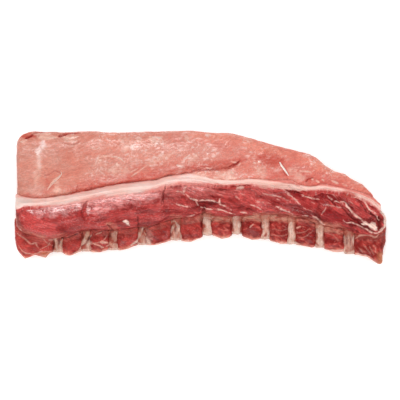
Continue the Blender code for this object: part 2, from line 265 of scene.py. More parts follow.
def lumps(places, size, seed):
    """Smooth unevenness from about -1 to 1, in lumps as wide as size, mm: a number, or one for each axis."""
    table = np.random.default_rng(seed).uniform(-1, 1, (TABLE, TABLE, TABLE))
    total = np.zeros(len(places))
    for turn, finer, weight in zip(GRID_TURNS, (1, 2.2), (0.95, 0.45)):
        at = (places / np.asarray(size, float)) @ turn * finer + 1000.5
        cell = np.floor(at).astype(int)
        share = ease(at - cell)
        for corner in np.ndindex(2, 2, 2):
            x, y, z = ((cell + corner) % TABLE).T
            part = [share[:, i] if corner[i] else 1 - share[:, i] for i in range(3)]
            total += weight * part[0] * part[1] * part[2] * table[x, y, z]
    return total


def wavering(places):
    """What marks() draws on: the places in plan, shifted a little to and fro, and an unevenness of width."""
    shift = 0.8 * np.column_stack([lumps(places, 6, 1), lumps(places, 6, 2)])
    return np.column_stack([places[:, :2] + shift, lumps(places, 4, 3)])


def curved(points):
    """A smooth line through points, given as x, y, x, y and so on, in several steps between each two."""
    points = np.reshape(points, (-1, 2)).astype(float)
    if len(points) < 3:
        return points
    ends = np.vstack([2 * points[0] - points[1], points, 2 * points[-1] - points[-2]])
    line = [points[0]]
    for before, start, end, after in zip(ends, ends[1:], ends[2:], ends[3:]):
        for t in (0.25, 0.5, 0.75, 1):
            squared, cubed = 2 * before - 5 * start + 4 * end - after, 3 * start - before - 3 * end + after
            line.append(0.5 * (2 * start + (end - before) * t + squared * t**2 + cubed * t**3))
    return np.array(line)


def nearness(places, line):
    """How far each place lies from a line in plan, mm, and how far along it that is, 0 to 1."""
    nearest, along = np.full(len(places), 1e6), np.zeros(len(places))
    lengths = np.hypot(*np.diff(line, axis=0).T)
    passed = 0
    for start, end, length in zip(line, line[1:], lengths):
        step = (end - start) / length
        reach = np.clip((places - start) @ step, 0, length)
        gap = np.hypot(*(places - start - reach[:, None] * step).T)
        closer = gap < nearest
        nearest[closer] = gap[closer]
        along[closer] = (passed + reach[closer]) / lengths.sum()
        passed += length
    return nearest, along


def marks(drawn_on, strokes, fade=0.45):
    """How strongly strokes mark each place: a width, mm, a strength, then the x and y of each point.

    A stroke thins out at both ends, its width varies, and its edge fades over a share of its width.
    """
    strength = np.zeros(len(drawn_on))
    for width, weight, *points in strokes:
        line = curved(points)
        widths = width if isinstance(width, tuple) else (width, width)
        reach = 1.4 * max(widths) * (0.5 + fade)
        inside = (drawn_on[:, :2] > line.min(0) - reach) & (drawn_on[:, :2] < line.max(0) + reach)
        close = inside.all(axis=1)
        if not close.any():
            continue
        gap, along = nearness(drawn_on[close][:, :2], line)
        tapered = np.interp(along, (0, 1), widths) * (0.45 + 0.55 * ease(np.minimum(along, 1 - along) * 5))
        tapered *= 1 + 0.4 * drawn_on[close][:, 2]
        value = weight * ease((tapered * (0.5 + fade) - gap) / (2 * fade * tapered))
        strength[close] = np.maximum(strength[close], value)
    return strength


def limits(places, along, across, step=3):
    """The least and the greatest coordinate across a piece at each of its places, by how far along it is."""
    lies, value = places[:, along], places[:, across]
    slot = np.round((lies - lies.min()) / step).astype(int)
    low, high = np.full(slot.max() + 1, np.inf), np.full(slot.max() + 1, -np.inf)
    np.minimum.at(low, slot, value)
    np.maximum.at(high, slot, value)
    centres = lies.min() + step * np.arange(len(low))
    return np.interp(lies, centres, low), np.interp(lies, centres, high)


def feed(tree, node, inputs):
    """Gives inputs of a shader node their values, or links them to the sockets that feed them."""
    for name, value in inputs.items():
        if isinstance(value, bpy.types.NodeSocket):
            tree.links.new(value, node.inputs[name])
        else:
            node.inputs[name].default_value = value


def add(tree, kind, inputs, **settings):
    """A new shader node, fed with its inputs."""
    node = tree.nodes.new("ShaderNode" + kind)
    for name, value in settings.items():
        setattr(node, name, value)
    feed(tree, node, inputs)
    return node


def calculated(tree, operation, first, second=0):
    """The result of one sum on two values or sockets."""
    return add(tree, "Math", {0: first, 1: second}, operation=operation).outputs[0]


def ranged(tree, value, low, high, to_low=0, to_high=1):
    """A value taken from one range to another, smoothly."""
    node = add(tree, "MapRange", {0: value, 1: low, 2: high, 3: to_low, 4: to_high})
    node.interpolation_type = "SMOOTHSTEP"
    return node.outputs[0]


def fibre_group():
    """Muscle fibres too fine for the mesh: strands along the grain, and glints in the wet skin.

    Grain is a place in mm, with x along the fibres.
    """
    group = bpy.data.node_groups.new("fine_fibres", "ShaderNodeTree")
    group.interface.new_socket("Grain", in_out="INPUT", socket_type="NodeSocketVector")
    for label, value in (("Length", 8), ("Width", 0.7)):
        socket = group.interface.new_socket(label, in_out="INPUT", socket_type="NodeSocketFloat")
        socket.default_value = value
    for label in ("Strand", "Glint", "Height"):
        group.interface.new_socket(label, in_out="OUTPUT", socket_type="NodeSocketFloat")
    given = group.nodes.new("NodeGroupInput").outputs
    apart = add(group, "SeparateXYZ", {0: given["Grain"]}).outputs
    facs = []
    for length, width in ((1, 1), (0.35, 1.5)):
        sizes = [calculated(group, "MULTIPLY", given[name], share)
                 for name, share in (("Length", length), ("Width", width), ("Width", width))]
        scaled = {i: calculated(group, "DIVIDE", apart[i], size) for i, size in enumerate(sizes)}
        place = add(group, "CombineXYZ", scaled).outputs[0]
        noise = {"Vector": place, "Scale": 1, "Detail": 2, "Roughness": 0.55}
        facs.append(add(group, "TexNoise", noise).outputs["Fac"])
    strand, glint = facs
    feed(group, group.nodes.new("NodeGroupOutput"), {
        "Strand": ranged(group, strand, 0.36, 0.64), "Glint": ranged(group, glint, 0.54, 0.68),
        "Height": calculated(group, "ADD", strand, glint)})
    return group


FIBRES = fibre_group()


def moist_material(name, glint_colour, coat_roughness, fibre_size, contrast, relief):
    """A moist, slightly translucent material. Its colour, wetness and glints are painted on the piece.

    Fibre_size is the length and width of the finest fibres, mm; contrast is how dark the furrows between
    them are, and relief how deep, mm.
    """
    made = bpy.data.materials.new(name)
    made.use_nodes = True
    tree = made.node_tree
    grain, colour, wet, glinting = (
        add(tree, "Attribute", {}, attribute_name=name).outputs[kind]
        for name, kind in (("grain", "Vector"), ("colour", "Color"), ("wet", "Fac"), ("glinting", "Fac")))
    fibres = {"Grain": grain, "Length": fibre_size[0], "Width": fibre_size[1]}
    strand, glint, height = add(tree, "Group", fibres, node_tree=FIBRES).outputs
    shade = ranged(tree, strand, 0, 1, 1 - contrast, 1 + contrast / 2)
    colours = {0: 1, 6: colour, 7: shade}
    shaded = add(tree, "Mix", colours, data_type="RGBA", blend_type="MULTIPLY").outputs[2]
    colours = {0: calculated(tree, "MULTIPLY", glint, glinting), 6: shaded, 7: (*glint_colour, 1)}
    mixed = add(tree, "Mix", colours, data_type="RGBA")
    bump = add(tree, "Bump", {"Height": height, "Distance": relief * MM, "Strength": 1})
    feed(tree, tree.nodes["Principled BSDF"], {
        "Base Color": mixed.outputs[2], "Normal": bump.outputs["Normal"],
        "Roughness": ranged(tree, wet, 0, 1, 0.6, 0.4), "Specular IOR Level": 0.1,
        "Coat Weight": wet, "Coat Roughness": coat_roughness,
        "Subsurface Weight": 0.12, "Subsurface Radius": (1, 0.30, 0.22),
        "Subsurface Scale": BLOOD_DEPTH * MM})
    return made


def finished(piece, slot, material, node=None, **painted):
    """Gives a piece its material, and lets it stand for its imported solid, if it has one.

    What is painted on it is a number, or three, for each of its points, which its material reads by name.
    """
    for name, values in painted.items():
        kind, part = ("FLOAT", "value") if values.ndim == 1 else ("FLOAT_VECTOR", "vector")
        layer = piece.data.attributes.new(name, kind, "POINT")
        layer.data.foreach_set(part, values.astype(np.float32).ravel())
    piece.data.materials.clear()
    piece.data.materials.append(material)
    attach(piece, "root")
    if node:
        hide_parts(node)


# How far forward the cap muscle reaches along the rack: x, y
cap_points = np.array([point.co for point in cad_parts["cap_muscle"].data.vertices]) / MM
CAP_FRONT = [
    (x, cap_points[np.abs(cap_points[:, 0] - x) < 3.5, 1].min()) for x in np.arange(-189, 192, 6)]

bone_finish = moist_material("gristled_bone", (0.86, 0.70, 0.60), 0.25, (5, 0.9), 0.15, 0.4)
for number in range(1, BONES + 1):
    node = f"rib_bone_{number:02d}"
    bone = fine_copy(node, BONE_SKIN, smoothing=5)
    places, facing = surface(bone)
    x, y, z = places.T
    shown = in_front_of_cap(places)
    sawn = ease((np.abs(facing[:, 1]) - 0.7) / 0.2)  # 1 on its two cut ends
    drawn_on = wavering(places)
    upward = on_top(facing, 0.3, 0.5)
    gristle, cleft = (upward * marks(drawn_on, strokes, fade=0.25) for strokes in (GRISTLE, CLEFTS))
    left, right = limits(places, 1, 0)
    sideways = x - (left + right) / 2
    swollen = shown * (1 - sawn) * upward
    relief = 0.4 * lumps(places, (4, 7, 4), number) + 0.25 * lumps(places, (2, 3, 2), number + 20)
    relief += BONE_SWELL * swollen + 0.4 * gristle - 0.6 * cleft
    moved = places + facing * relief[:, None]
    off_middle = np.clip(sideways / (right - left) * 2, -1, 1)
    moved[:, 0] += BONE_SPREAD * swollen * off_middle
    moved[:, 2] += BONE_FILLED * swollen * off_middle**2 + rise_to_cap(places, facing)
    reshape(bone, moved)
    height_share = (z - z.min()) / BONE_HEIGHT
    core = ease(1.3 - np.hypot(sideways / MARROW_WIDTH, (height_share - MARROW_MIDDLE) / MARROW_SHARE))
    fleshy = 0.35 * ease((-10 - x) / 40)
    pale_share = 0.8 - fleshy + 0.8 * lumps(places, (1.5, 7, 3), number + 80)
    film, film_colour = membrane(places, facing, number + 130)
    at_front = ease((y.min() + 3.2 + lumps(places, 2.5, number + 140) - y) / 1.5)
    colour = blend(
        BONE_PLAIN,
        BONE_PINK, ease(0.5 + 0.7 * lumps(places, (3, 9, 3), number + 40)),
        BONE_FLESH, shown * (1 - gristle) * ease(0.9 + 0.6 * lumps(places, 4, number + 60)),
        blend(GRISTLE_BROWN, GRISTLE_COLOUR, pale_share),
        gristle * (0.95 + 0.3 * lumps(places, 2.5, number + 100)),
        film_colour, 0.9 * film * (1 - 0.5 * gristle),
        # painted shade in the clefts beside the bone
        CLEFT_SHADE, 0.85 * cleft * (1 - 0.5 * gristle),
        GRISTLE_COLOUR, np.maximum(0.8 * at_front, sawn) * (1 - core * sawn),
        MARROW, 0.85 * core * sawn)
    wet = 0.25 + 0.15 * lumps(places, 5, number + 120)
    finished(bone, "bone", bone_finish, node, grain=places[:, (1, 0, 2)], colour=colour, wet=wet,
             glinting=0.4 * gristle)


# The rib meat
# A strip of dark, coarse-fibred muscle fills each space between two bones and swells out in front of the
# cap muscle. Its fibres run aslant from rib to rib. The knife has left the two end strips ragged.

STRIP_SKIN = 0.9
STRIP_DOME = 1.3  # how far its sides lie below its middle there
STRIP_PLUMP = 1.3  # how far its front end swells forward between the bones
STRIP_SLANT = -0.45  # how far the fibres turn from the rack's length, radians
PACKED_SLOT = 6.6  # space between two packed strips, over the bone, mm
# How wide each bone shows between its two strips, from the wide end of the rack
SLOTS = (5.6, 5.2, 5.0, 3.8, 5.6, 5.6, 6.2, 5.0, 4.6, 4.8, 6.6)
COARSE_STRIPS = range(7, 13)  # the strips with coarser fibres
PALE_STRIPS, DARK_STRIPS = (1,), (8, 10, 12)
STRIP_DEEP = (0.22, 0.009, 0.007)
STRIP_RED = (0.50, 0.052, 0.042)
STRIP_RIM = (0.76, 0.22, 0.16)
STRIP_EDGE = (0.84, 0.46, 0.37)
STRIP_FAT = (0.80, 0.44, 0.34)
STRIP_TAN = (0.56, 0.18, 0.095)  # where the two end strips have dried
# Streaks of fat and gristle in the strips
STRIP_WHITE = [
    (0.9, 0.7, -189, -37, -186, -40, -181, -43, -175, -48, -170, -48, -165, -54),
    (1, 0.6, -165, -54, -158, -50, -155, -46), (0.9, 0.5, -163, -42, -158, -47, -153, -50),
    (1.1, 0.6, -188, -50, -183, -56, -177, -58, -169, -58, -163, -56, -154, -56),
    (2.6, 0.95, -103, -47, -99, -46, -96, -47), (1.6, 0.6, -108, -38, -102, -36),
    (1.2, 0.8, -111, -48, -105, -50, -102, -52, -99, -52),
    (1.1, 0.5, -111, -48, -105, -47, -100, -44, -97, -40), (1, 0.8, 51, -31, 55, -28),
    (1, 0.25, 74, -32, 82, -34, 90, -33), (1, 0.25, 72, -38, 81, -40, 90, -38),
    (1.2, 0.8, 100, -32, 103, -30), (1, 0.3, 99, -37, 106, -36, 112, -32),
    (1, 0.3, 100, -42, 108, -40, 116, -35), (1, 0.3, 130, -37, 137, -40, 143, -45),
    (1.4, 0.6, 160, -43, 167, -39, 175, -40, 181, -41, 183, -38), (0.9, 0.35, 168, -50, 172, -55, 175, -59),
    (0.9, 0.35, 173, -49, 176, -55, 179, -60), (0.9, 0.4, 178, -48, 180, -52, 180, -58),
    (0.9, 0.3, 163, -52, 166, -56, 168, -58),
]
strip_finish = moist_material("rib_meat", (0.72, 0.28, 0.23), 0.2, (3.5, 1.1), 0.22, 0.4)
for number in range(1, BONES + 2):
    node = f"rib_meat_{number:02d}"
    strip = fine_copy(node, STRIP_SKIN, smoothing=4)
    places, facing = surface(strip)
    x, y = places.T[:2]
    drawn_on = wavering(places)
    upward = on_top(facing, 0.1, 0.5)
    slant = STRIP_SLANT + 0.3 * math.sin(number * 1.9)
    along = x * math.cos(slant) + y * math.sin(slant)
    across = y * math.cos(slant) - x * math.sin(slant)
    grain = np.column_stack([
        along + 3 * lumps(places, 12, number), across + 1.5 * lumps(places, 9, number + 30), places[:, 2]])
    from_front = y - limits(places, 0, 1)[0]
    shown = in_front_of_cap(places)
    left, right = limits(places, 1, 0)
    off_middle = 2 * (x - left) / (right - left) - 1
    beside_bone = np.where(off_middle < 0, number > 1, number <= BONES)
    sideways = np.abs(off_middle) * np.where(beside_bone, 1, 0.6)
    slot = np.where(off_middle < 0, SLOTS[max(number - 2, 0)], SLOTS[min(number, BONES) - 1])
    closing = beside_bone * (PACKED_SLOT - slot) / 2
    closing *= ease((sideways - 0.5) / 0.4) * on_top(facing, 0.6, 0.5)
    white, cleft, gristle = (
        upward * marks(drawn_on, strokes, fade=0.25) for strokes in (STRIP_WHITE, CLEFTS, GRISTLE))
    coarser, fibre = (1, (5, 1.5, 1.5)) if number in COARSE_STRIPS else (0.5, (7, 2, 2))
    coarse = lumps(grain, (13, 4, 4), number + 60)
    strands = lumps(grain, fibre, number + 90)
    relief = coarser * (0.4 * coarse + 0.25 * strands) + 0.4 * lumps(places, 8, number + 120)
    relief += 0.3 * white - 0.8 * cleft + 0.2 * gristle
    moved = places + facing * relief[:, None]
    moved[:, 0] += np.sign(off_middle) * closing * shown
    moved[:, 1] -= STRIP_PLUMP * (1 - sideways**2) * ease((6 - from_front) / 6) * (1 < number <= BONES)
    moved[:, 2] += rise_to_cap(places, facing) - STRIP_DOME * sideways**3 * shown * upward
    reshape(strip, moved)
    # The paler front rim of each strip: partly the cut edge's own colour, partly a painted glow of light
    # through the thin meat
    rim_and_glow = ease((3.6 + 1.4 * lumps(places, 6, number + 150) - from_front) / 2.5)
    threads = ease((strands - 0.25) / 0.5) * (number in COARSE_STRIPS)
    blotches = ease(lumps(places, 7, number + 210) - 0.2)
    # Painted shade: darker towards the sides of each strip, where it turns down beside the bones
    side_shade = ease((sideways - 0.84 + 0.08 * lumps(places, 4, number + 240)) / 0.16) * shown
    film, film_colour = membrane(places, facing, number + 130)
    red_share = 0.55 + coarser * (0.3 * coarse + 0.6 * strands) + 0.45 * lumps(places, 5, number + 180)
    red_share += 0.25 * (number in PALE_STRIPS) - 0.22 * (number in DARK_STRIPS) - 0.25 * ease((x - 20) / 60)
    dried = np.zeros(len(places))
    if number == 1:
        dried = 0.7 * ease((-54 - y) / 4) * ease((x + 168) / 6)
    if number > BONES:
        dried = ease((x - 180) / 7) * ease((-55 - y) / 4)
    colour = blend(
        STRIP_DEEP,
        STRIP_RED, red_share,
        STRIP_RIM, 0.3 * threads,
        # the front rim, partly painted glow, and blotches of paler meat
        STRIP_RIM, (0.8 * rim_and_glow + 0.25 * blotches) * (0.8 + 0.3 * strands),
        STRIP_EDGE, 0.85 * ease((2 + 1.3 * lumps(places, 5, number + 155) - from_front) / 1.4),
        STRIP_TAN, dried,
        # painted shade at the sides
        STRIP_DEEP, 0.6 * side_shade,
        # painted shade in the clefts
        CLEFT_SHADE, 0.9 * cleft * (1 - 0.5 * gristle),
        film_colour, 0.95 * film,
        STRIP_FAT, 0.85 * white,
        GRISTLE_COLOUR, 0.9 * gristle * ease(0.95 + 0.4 * lumps(places, 3, number + 270)))
    wet = 0.22 + 0.22 * lumps(places, 5, number + 300)
    glinting = (0.15 + 0.2 * lumps(places, 4, number + 330)) * (1 - cleft)
    finished(strip, "rib_meat", strip_finish, node, grain=grain, colour=colour, wet=wet, glinting=glinting)


# The loin
# The pale eye muscle lies along the back of the rack under a wet, silvery skin. A fold along its front hides
# where a second, thinner layer ends, and the saw and the knife have left nicks in its upper edge.

LOIN_SKIN = 0.68
LOIN_KEPT = 0.7  # share of its faces that stay
LOIN_FORWARD = [(-60, 1.9), (-10, 1.0)]  # how far it swells forward against the band of fat, by x
LOIN_GRAIN = (0.97, 0.26)  # which way its fibres run in plan
# Its colour along the rack, from the wide end to the narrow one: x, then red, green and blue
LOIN_COLOURS = [
    (-190, 0.56, 0.21, 0.155), (-130, 0.61, 0.24, 0.18), (-60, 0.66, 0.268, 0.212), (0, 0.67, 0.235, 0.187),
    (55, 0.69, 0.21, 0.165), (90, 0.66, 0.165, 0.13), (190, 0.66, 0.17, 0.135),
]
LOIN_GREY = (0.70, 0.37, 0.30)
LOIN_WET_SHEEN = (0.85, 0.54, 0.48)
LOIN_RED = (0.53, 0.08, 0.055)
# Dark red of the nicks, also laid on as painted shade
LOIN_BLOOD_AND_SHADE = (0.32, 0.022, 0.016)
LOIN_ORANGE = (0.70, 0.225, 0.16)
LOIN_GLOW = (0.86, 0.30, 0.21)
LOIN_FAT = (0.82, 0.53, 0.43)
LOIN_HIGHLIGHT_WHITE = (0.94, 0.72, 0.68)
# Pale flecks, threads and flaps of fat and membrane, with some painted highlights among them
LOIN_PALE_AND_SHINE = [
    (1.5, 0.9, -143, 23, -147, 19, -153, 14, -157, 7), (6, 0.7, -150, 7, -145, 8),
    (4, 0.4, -149, 14, -146, 16), (4.5, 0.7, -167, 62, -158, 61, -149, 61),
    (7, 0.35, -167, 46, -167, 28, -170, 12), (1.4, 0.5, -172, 25, -165, 29, -159, 32),
    (1.6, 0.6, -107, 34, -104, 40, -95, 42, -86, 41, -80, 38, -78, 35), (3, 0.6, -104, 35, -102, 39),
    (2.5, 1, -86, 35, -86, 32), (9, 0.4, -93, 27, -83, 28, -73, 26),
    (1.2, 0.6, -113, 52, -109, 49, -102, 51), (8, 0.4, -83, 59, -75, 54, -77, 47),
    (5, 0.6, -52, 61, -48, 58, -40, 61), (4, 0.45, -64, 60, -61, 56),
    (5, 0.3, -57, 32, -47, 37, -38, 41, -27, 47), (3, 0.35, -36, 40, -27, 47),
    (1.2, 0.7, -70, 22, -62, 28, -56, 32), (1.2, 0.6, -72, 25, -64, 30), (5, 0.4, -9, 38, -4, 44),
    (4, 0.45, -15, 63, -12, 58), (4, 0.5, 6, 66, 10, 64), (4.5, 0.4, 48, 60, 53, 58),
    (1.4, 0.9, -24, 33, -18, 31), (1.2, 0.7, 5, 30, 12, 30), (1.6, 0.8, 31, 37, 37, 35),
    (1.4, 0.8, 37, 32, 41, 35), (3, 0.8, 28, 25, 34, 25), (6.5, 0.6, 14, 20, 22, 22, 35, 20),
    (5, 0.6, -18, 23, -5, 23, 8, 22), (12, 0.45, 92, 28, 104, 20), (1.5, 0.8, 54, 35, 63, 36),
    (10, 0.5, 57, 30, 65, 22), (1.5, 0.8, 92, 28, 100, 28, 113, 26), (1.5, 0.9, 114, 19, 116, 17),
    (1.5, 0.8, 119, 17, 122, 15), (1.5, 0.8, 124, 18, 127, 17), (1.5, 0.7, 134, 17, 142, 14),
    (1.4, 0.5, 146, 14, 151, 12), (3, 0.7, -172, 66, -163, 65, -155, 65), (4, 0.4, -166, 62, -156, 61),
    (1.6, 0.8, -143, 62, -134, 61, -125, 62), (4.5, 0.35, -140, 59, -128, 58), (2, 0.7, -185, 57, -178, 59),
    (5.5, 0.5, 74, 18, 100, 16),
]
# Painted highlights, where light shines in the wet skin
LOIN_SHINE = [
    (6, 0.85, -161, 57, -162, 51), (5, 0.85, -165, 51, -167, 44), (4.5, 0.35, -166, 42, -165, 30),
    (2.4, 0.5, 5, 65, 8, 62), (2, 0.5, -24, 33, -19, 31), (3, 0.4, -49, 61, -42, 60),
]
# Nicks left by the saw and the knife, and painted shadows along the fold, beside a wrinkle, under a flap and
# beside the white sinew
LOIN_CUTS_AND_SHADOWS = [
    (2.2, 1, -181, 60, -176, 62, -172, 65), (1.4, 0.8, -172, 66, -160, 67),
    (2.6, 1, -146, 62, -142, 64, -137, 65), (1.4, 0.5, -138, 65, -124, 65),
    (1.4, 0.45, -160, 22, -153, 25, -147, 27, -143, 24), (1.3, 0.35, -142, 56, -130, 55, -124, 58),
    (2.2, 1, 30, 31, 36, 33, 40, 37), (1.6, 0.8, 108, 16, 111, 19, 116, 20), (1.5, 0.6, 85, 27, 89, 22),
    (1.8, 0.35, -128, 6, -126, 12), (1.6, 0.3, -113, 8, -111, 15),
    (2, 0.7, -22, 24, -6, 27, 5, 28, 18, 29, 31, 30),
]
# Patches of redder meat, and painted reddish shade above the crease and along the fold
LOIN_FLUSHED_AND_SHADED = [
    (17, 0.6, -132, 8, -109, 13, -83, 19, -62, 23, -42, 27, -25, 31),
    (10, 1, -132, 6, -109, 10, -83, 16, -62, 20, -42, 24, -25, 29), (7, 0.5, -163, 4, -155, 9, -158, 18),
    (13, 1, 60, 41, 74, 38, 83, 38), (8, 0.8, -32, 27, -16, 29, 5, 32, 28, 34, 46, 39),
    (5, 1, -184, 62, -172, 64, -161, 67), (3, 0.8, -142, 66, -126, 66), (8, 0.4, 74, 21, 84, 24),
    (5.5, 0.9, 108, 18, 114, 20), (4.5, 1, 71, 38, 79, 36), (12, 0.25, 154, 13, 169, 5),
    (8, 0.35, 122, 17, 140, 13, 158, 7), (3, 0.6, -187, 3, -160, 1, -140, 3),
]
LOIN_ORANGES = [
    (13, 0.8, -8, 64, 15, 63, 40, 59, 60, 53, 85, 46), (12, 0.4, -100, 60, -88, 64),
    (8, 0.4, -62, 21, -45, 26), (11, 0.8, 85, 47, 110, 38, 130, 30, 150, 20, 172, 6),
]

loin = fine_copy("loin", LOIN_SKIN, smoothing=5)
thin_below(loin, LOIN_KEPT)
places, facing = surface(loin)
x, y = places.T[:2]
drawn_on = wavering(places)
upward = on_top(facing, 0.1, 0.4)
cosine, sine = LOIN_GRAIN
grain = np.column_stack([x * cosine + y * sine, y * cosine - x * sine, places[:, 2]])
grain += 2 * np.column_stack([lumps(places, 14, 301), lumps(places, 11, 302), lumps(places, 11, 303)])
pale, shine, cut_and_shadow, flushed_and_shaded, orange = (
    upward * marks(drawn_on, strokes)
    for strokes in (LOIN_PALE_AND_SHINE, LOIN_SHINE, LOIN_CUTS_AND_SHADOWS, LOIN_FLUSHED_AND_SHADED, LOIN_ORANGES))
strands = lumps(grain, (8, 1.8, 1.8), 304)
mottle = lumps(grain, (3.2, 1.7, 1.7), 305) * (1 - 0.35 * ease((-90 - x) / 40))
patches = lumps(places, (17, 13, 13), 306)
relief = 0.6 * lumps(places, (26, 13, 13), 307) + 0.35 * lumps(places, (9, 6, 6), 308) + 0.14 * mottle
relief += 0.1 * strands + 0.3 * pale - 1.3 * cut_and_shadow
front, back = limits(places, 0, 1)
touching = ease((7 - (y - front)) / 5) * on_top(facing, 0.5, 0.5)
moved = places + facing * relief[:, None]
moved[:, 1] -= by_x(places, LOIN_FORWARD) * touching
reshape(loin, moved)
near_seam = ease((3.2 + 1.2 * strands - (y - front)) / 3)
smooth_corner = ease((-135 - x) / 20)
# Painted sheen: pale spots where the wet skin catches the light
sheen_spots = ease((mottle - 0.2) / 0.5) * ease(0.6 + 0.8 * patches) * (1 - 0.75 * smooth_corner)
colour = blend(
    np.column_stack([by_x(places, LOIN_COLOURS, i) for i in (1, 2, 3)]),
    LOIN_GREY, 0.35 * ease(0.5 + 0.8 * patches) * ease((70 - x) / 60),
    LOIN_ORANGE, 0.4 * ease(0.3 + 0.9 * lumps(places, (30, 16, 16), 310)),
    LOIN_ORANGE, 0.45 * ease(1 - (back - y) / 22) * ease((40 - x) / 30),
    LOIN_GLOW, 0.8 * orange * ease(0.8 + 0.4 * patches),
    # redder meat, and painted reddish shade above the crease and along the fold
    LOIN_RED, flushed_and_shaded * ease(0.85 + 0.5 * strands) * ease(0.95 + 0.4 * lumps(places, 9, 309)),
    LOIN_FAT, 0.8 * near_seam * ease((x + 22) / 12) * ease((110 - x) / 30),
    # painted shade in the crease along the front edge, towards the wide end
    LOIN_BLOOD_AND_SHADE, 0.75 * near_seam * ease((-22 - x) / 12) * ease((x + 160) / 60),
    LOIN_RED, 0.16 * ease(-0.15 - strands) + 0.22 * ease(-0.1 - mottle) + 0.1 * ease(-patches),
    # painted sheen of the wet skin
    LOIN_WET_SHEEN, 0.75 * sheen_spots * (1 - 0.9 * flushed_and_shaded) + 0.15 * ease((strands - 0.3) / 0.4),
    # pale fat and membrane, and some painted highlights
    LOIN_FAT, pale * ease(0.85 + 0.6 * mottle),
    # painted highlights
    LOIN_HIGHLIGHT_WHITE, 0.9 * shine * ease(0.9 + 0.5 * mottle),
    # the nicks, and painted shadows
    LOIN_BLOOD_AND_SHADE, cut_and_shadow * ease(0.9 + 0.5 * mottle))
wet = (0.35 + 0.3 * patches + 0.3 * mottle) * (1 - 0.5 * smooth_corner) - 0.3 * cut_and_shadow
glinting = (0.3 + 0.4 * patches) * (1 - 0.8 * flushed_and_shaded) * (1 - 0.7 * smooth_corner)
loin_finish = moist_material("pale_meat", (0.88, 0.60, 0.53), 0.2, (3.2, 1.2), 0.1, 0.5)
finished(loin, "pale_meat", loin_finish, "loin", grain=grain, colour=colour, wet=wet, glinting=glinting)


# The loose strands
# Ends of sinew that the knife pulled up lie on the loin. Each is a flat, tapered ribbon, thickest along its
# middle, with its lower side sunk a little into the wet meat.

SINEW_COLOUR = (0.95, 0.82, 0.76)
SINEW_SUNK = 0.3  # how far its lower side sinks into the loin, mm
OVERHEAD = 0.1  # a height above the whole rack, m, from which a surface below is sought
# How wide and thick each is, how high its middle stands off the loin, mm, how white it is, its points
SINEWS = [
    (2, 1.1, 0.9, 1, 81.3, 36.2, 83.2, 32.6, 86.4, 28.2, 90.5, 22.2),
    (0.8, 0.6, 0.3, 0.3, -143.5, 26.2, -142.4, 24, -144.6, 20.6, -149.5, 16, -155.5, 9.5),
    (0.7, 0.5, 0.2, 0.2, -89, 42.2, -84.5, 41, -80.5, 38.6, -79, 36.5),
]


def part_way(course, share):
    """The place a share of the way along a line in plan."""
    passed = np.concatenate([[0], np.cumsum(np.hypot(*np.diff(course, axis=0).T))])
    return [np.interp(share * passed[-1], passed, course[:, i]) for i in (0, 1)]


loin_top = BVHTree.FromObject(loin, bpy.context.evaluated_depsgraph_get())
sinew_finish = moist_material("sinew", (0.97, 0.92, 0.88), 0.18, (3, 0.8), 0.08, 0.3)
for number, (width, thickness, lift, whiteness, *points) in enumerate(SINEWS, 1):
    course = curved(points)
    ribbon = bmesh.new()
    bmesh.ops.create_grid(ribbon, x_segments=24, y_segments=6, size=0.5)
    bmesh.ops.solidify(ribbon, geom=ribbon.faces[:], thickness=1)
    bmesh.ops.recalc_face_normals(ribbon, faces=ribbon.faces)
    for point in ribbon.verts:
        share, sideways, up = point.co.x + 0.5, point.co.y * 2, abs(point.co.z)
        back, at, ahead = (part_way(course, share + more) for more in (-0.02, 0, 0.02))
        step = np.subtract(ahead, back) / math.dist(ahead, back)
        taper = 0.25 + 0.75 * math.sin(math.pi * min(0.15 + 0.8 * share, 1))
        x, y = np.add(at, np.array((-step[1], step[0])) * sideways * width / 2 * taper)
        low = loin_top.ray_cast((x * MM, y * MM, OVERHEAD), (0, 0, -1))[0].z / MM - SINEW_SUNK
        high = thickness * taper * (1 - 0.8 * sideways**2)
        height = low + lift * math.sin(math.pi * share) + up * (high + SINEW_SUNK)
        point.co = np.array((x, y, height)) * MM
    data = bpy.data.meshes.new(f"sinew_{number}")
    ribbon.to_mesh(data)
    ribbon.free()
    data.shade_smooth()
    sinew = placed(f"sinew_{number}", data)
    places = surface(sinew)[0]
    even = np.ones(len(places))
    colour = blend(LOIN_FAT, SINEW_COLOUR, whiteness * even)
    finished(sinew, "fat", sinew_finish, grain=places, colour=colour, wet=0.6 * even, glinting=0.5 * even)


# The cap muscle
# The dark muscle along the front of the rack, its long fibres drawn aslant towards the narrow end. Wet silver
# skin shines on its back at the wide end; further on gristle and fat run through it in white lines.

CAP_SKIN = 0.7
CAP_KEPT = 0.8
# How strong its strands are, by x
CAP_SMOOTHER = [(-140, 0.35), (-118, 0.45), (-110, 0.7), (-30, 0.75), (10, 1)]
CAP_DEEP = (0.17, 0.004, 0.004)
CAP_BRIGHT_RED = (0.66, 0.08, 0.074)
CAP_CRIMSON_SHADE_RED = (0.33, 0.012, 0.015)
CAP_SILVER_SHINE_PINK = (0.88, 0.48, 0.46)
CAP_RED = (0.56, 0.062, 0.056)
CAP_FILM = (0.68, 0.19, 0.17)
FAT_FILM = (0.80, 0.29, 0.25)
FAT_CREAM = (0.90, 0.67, 0.61)
FAT_WARM = (0.87, 0.55, 0.475)
FAT_BLUSH = (0.87, 0.53, 0.455)
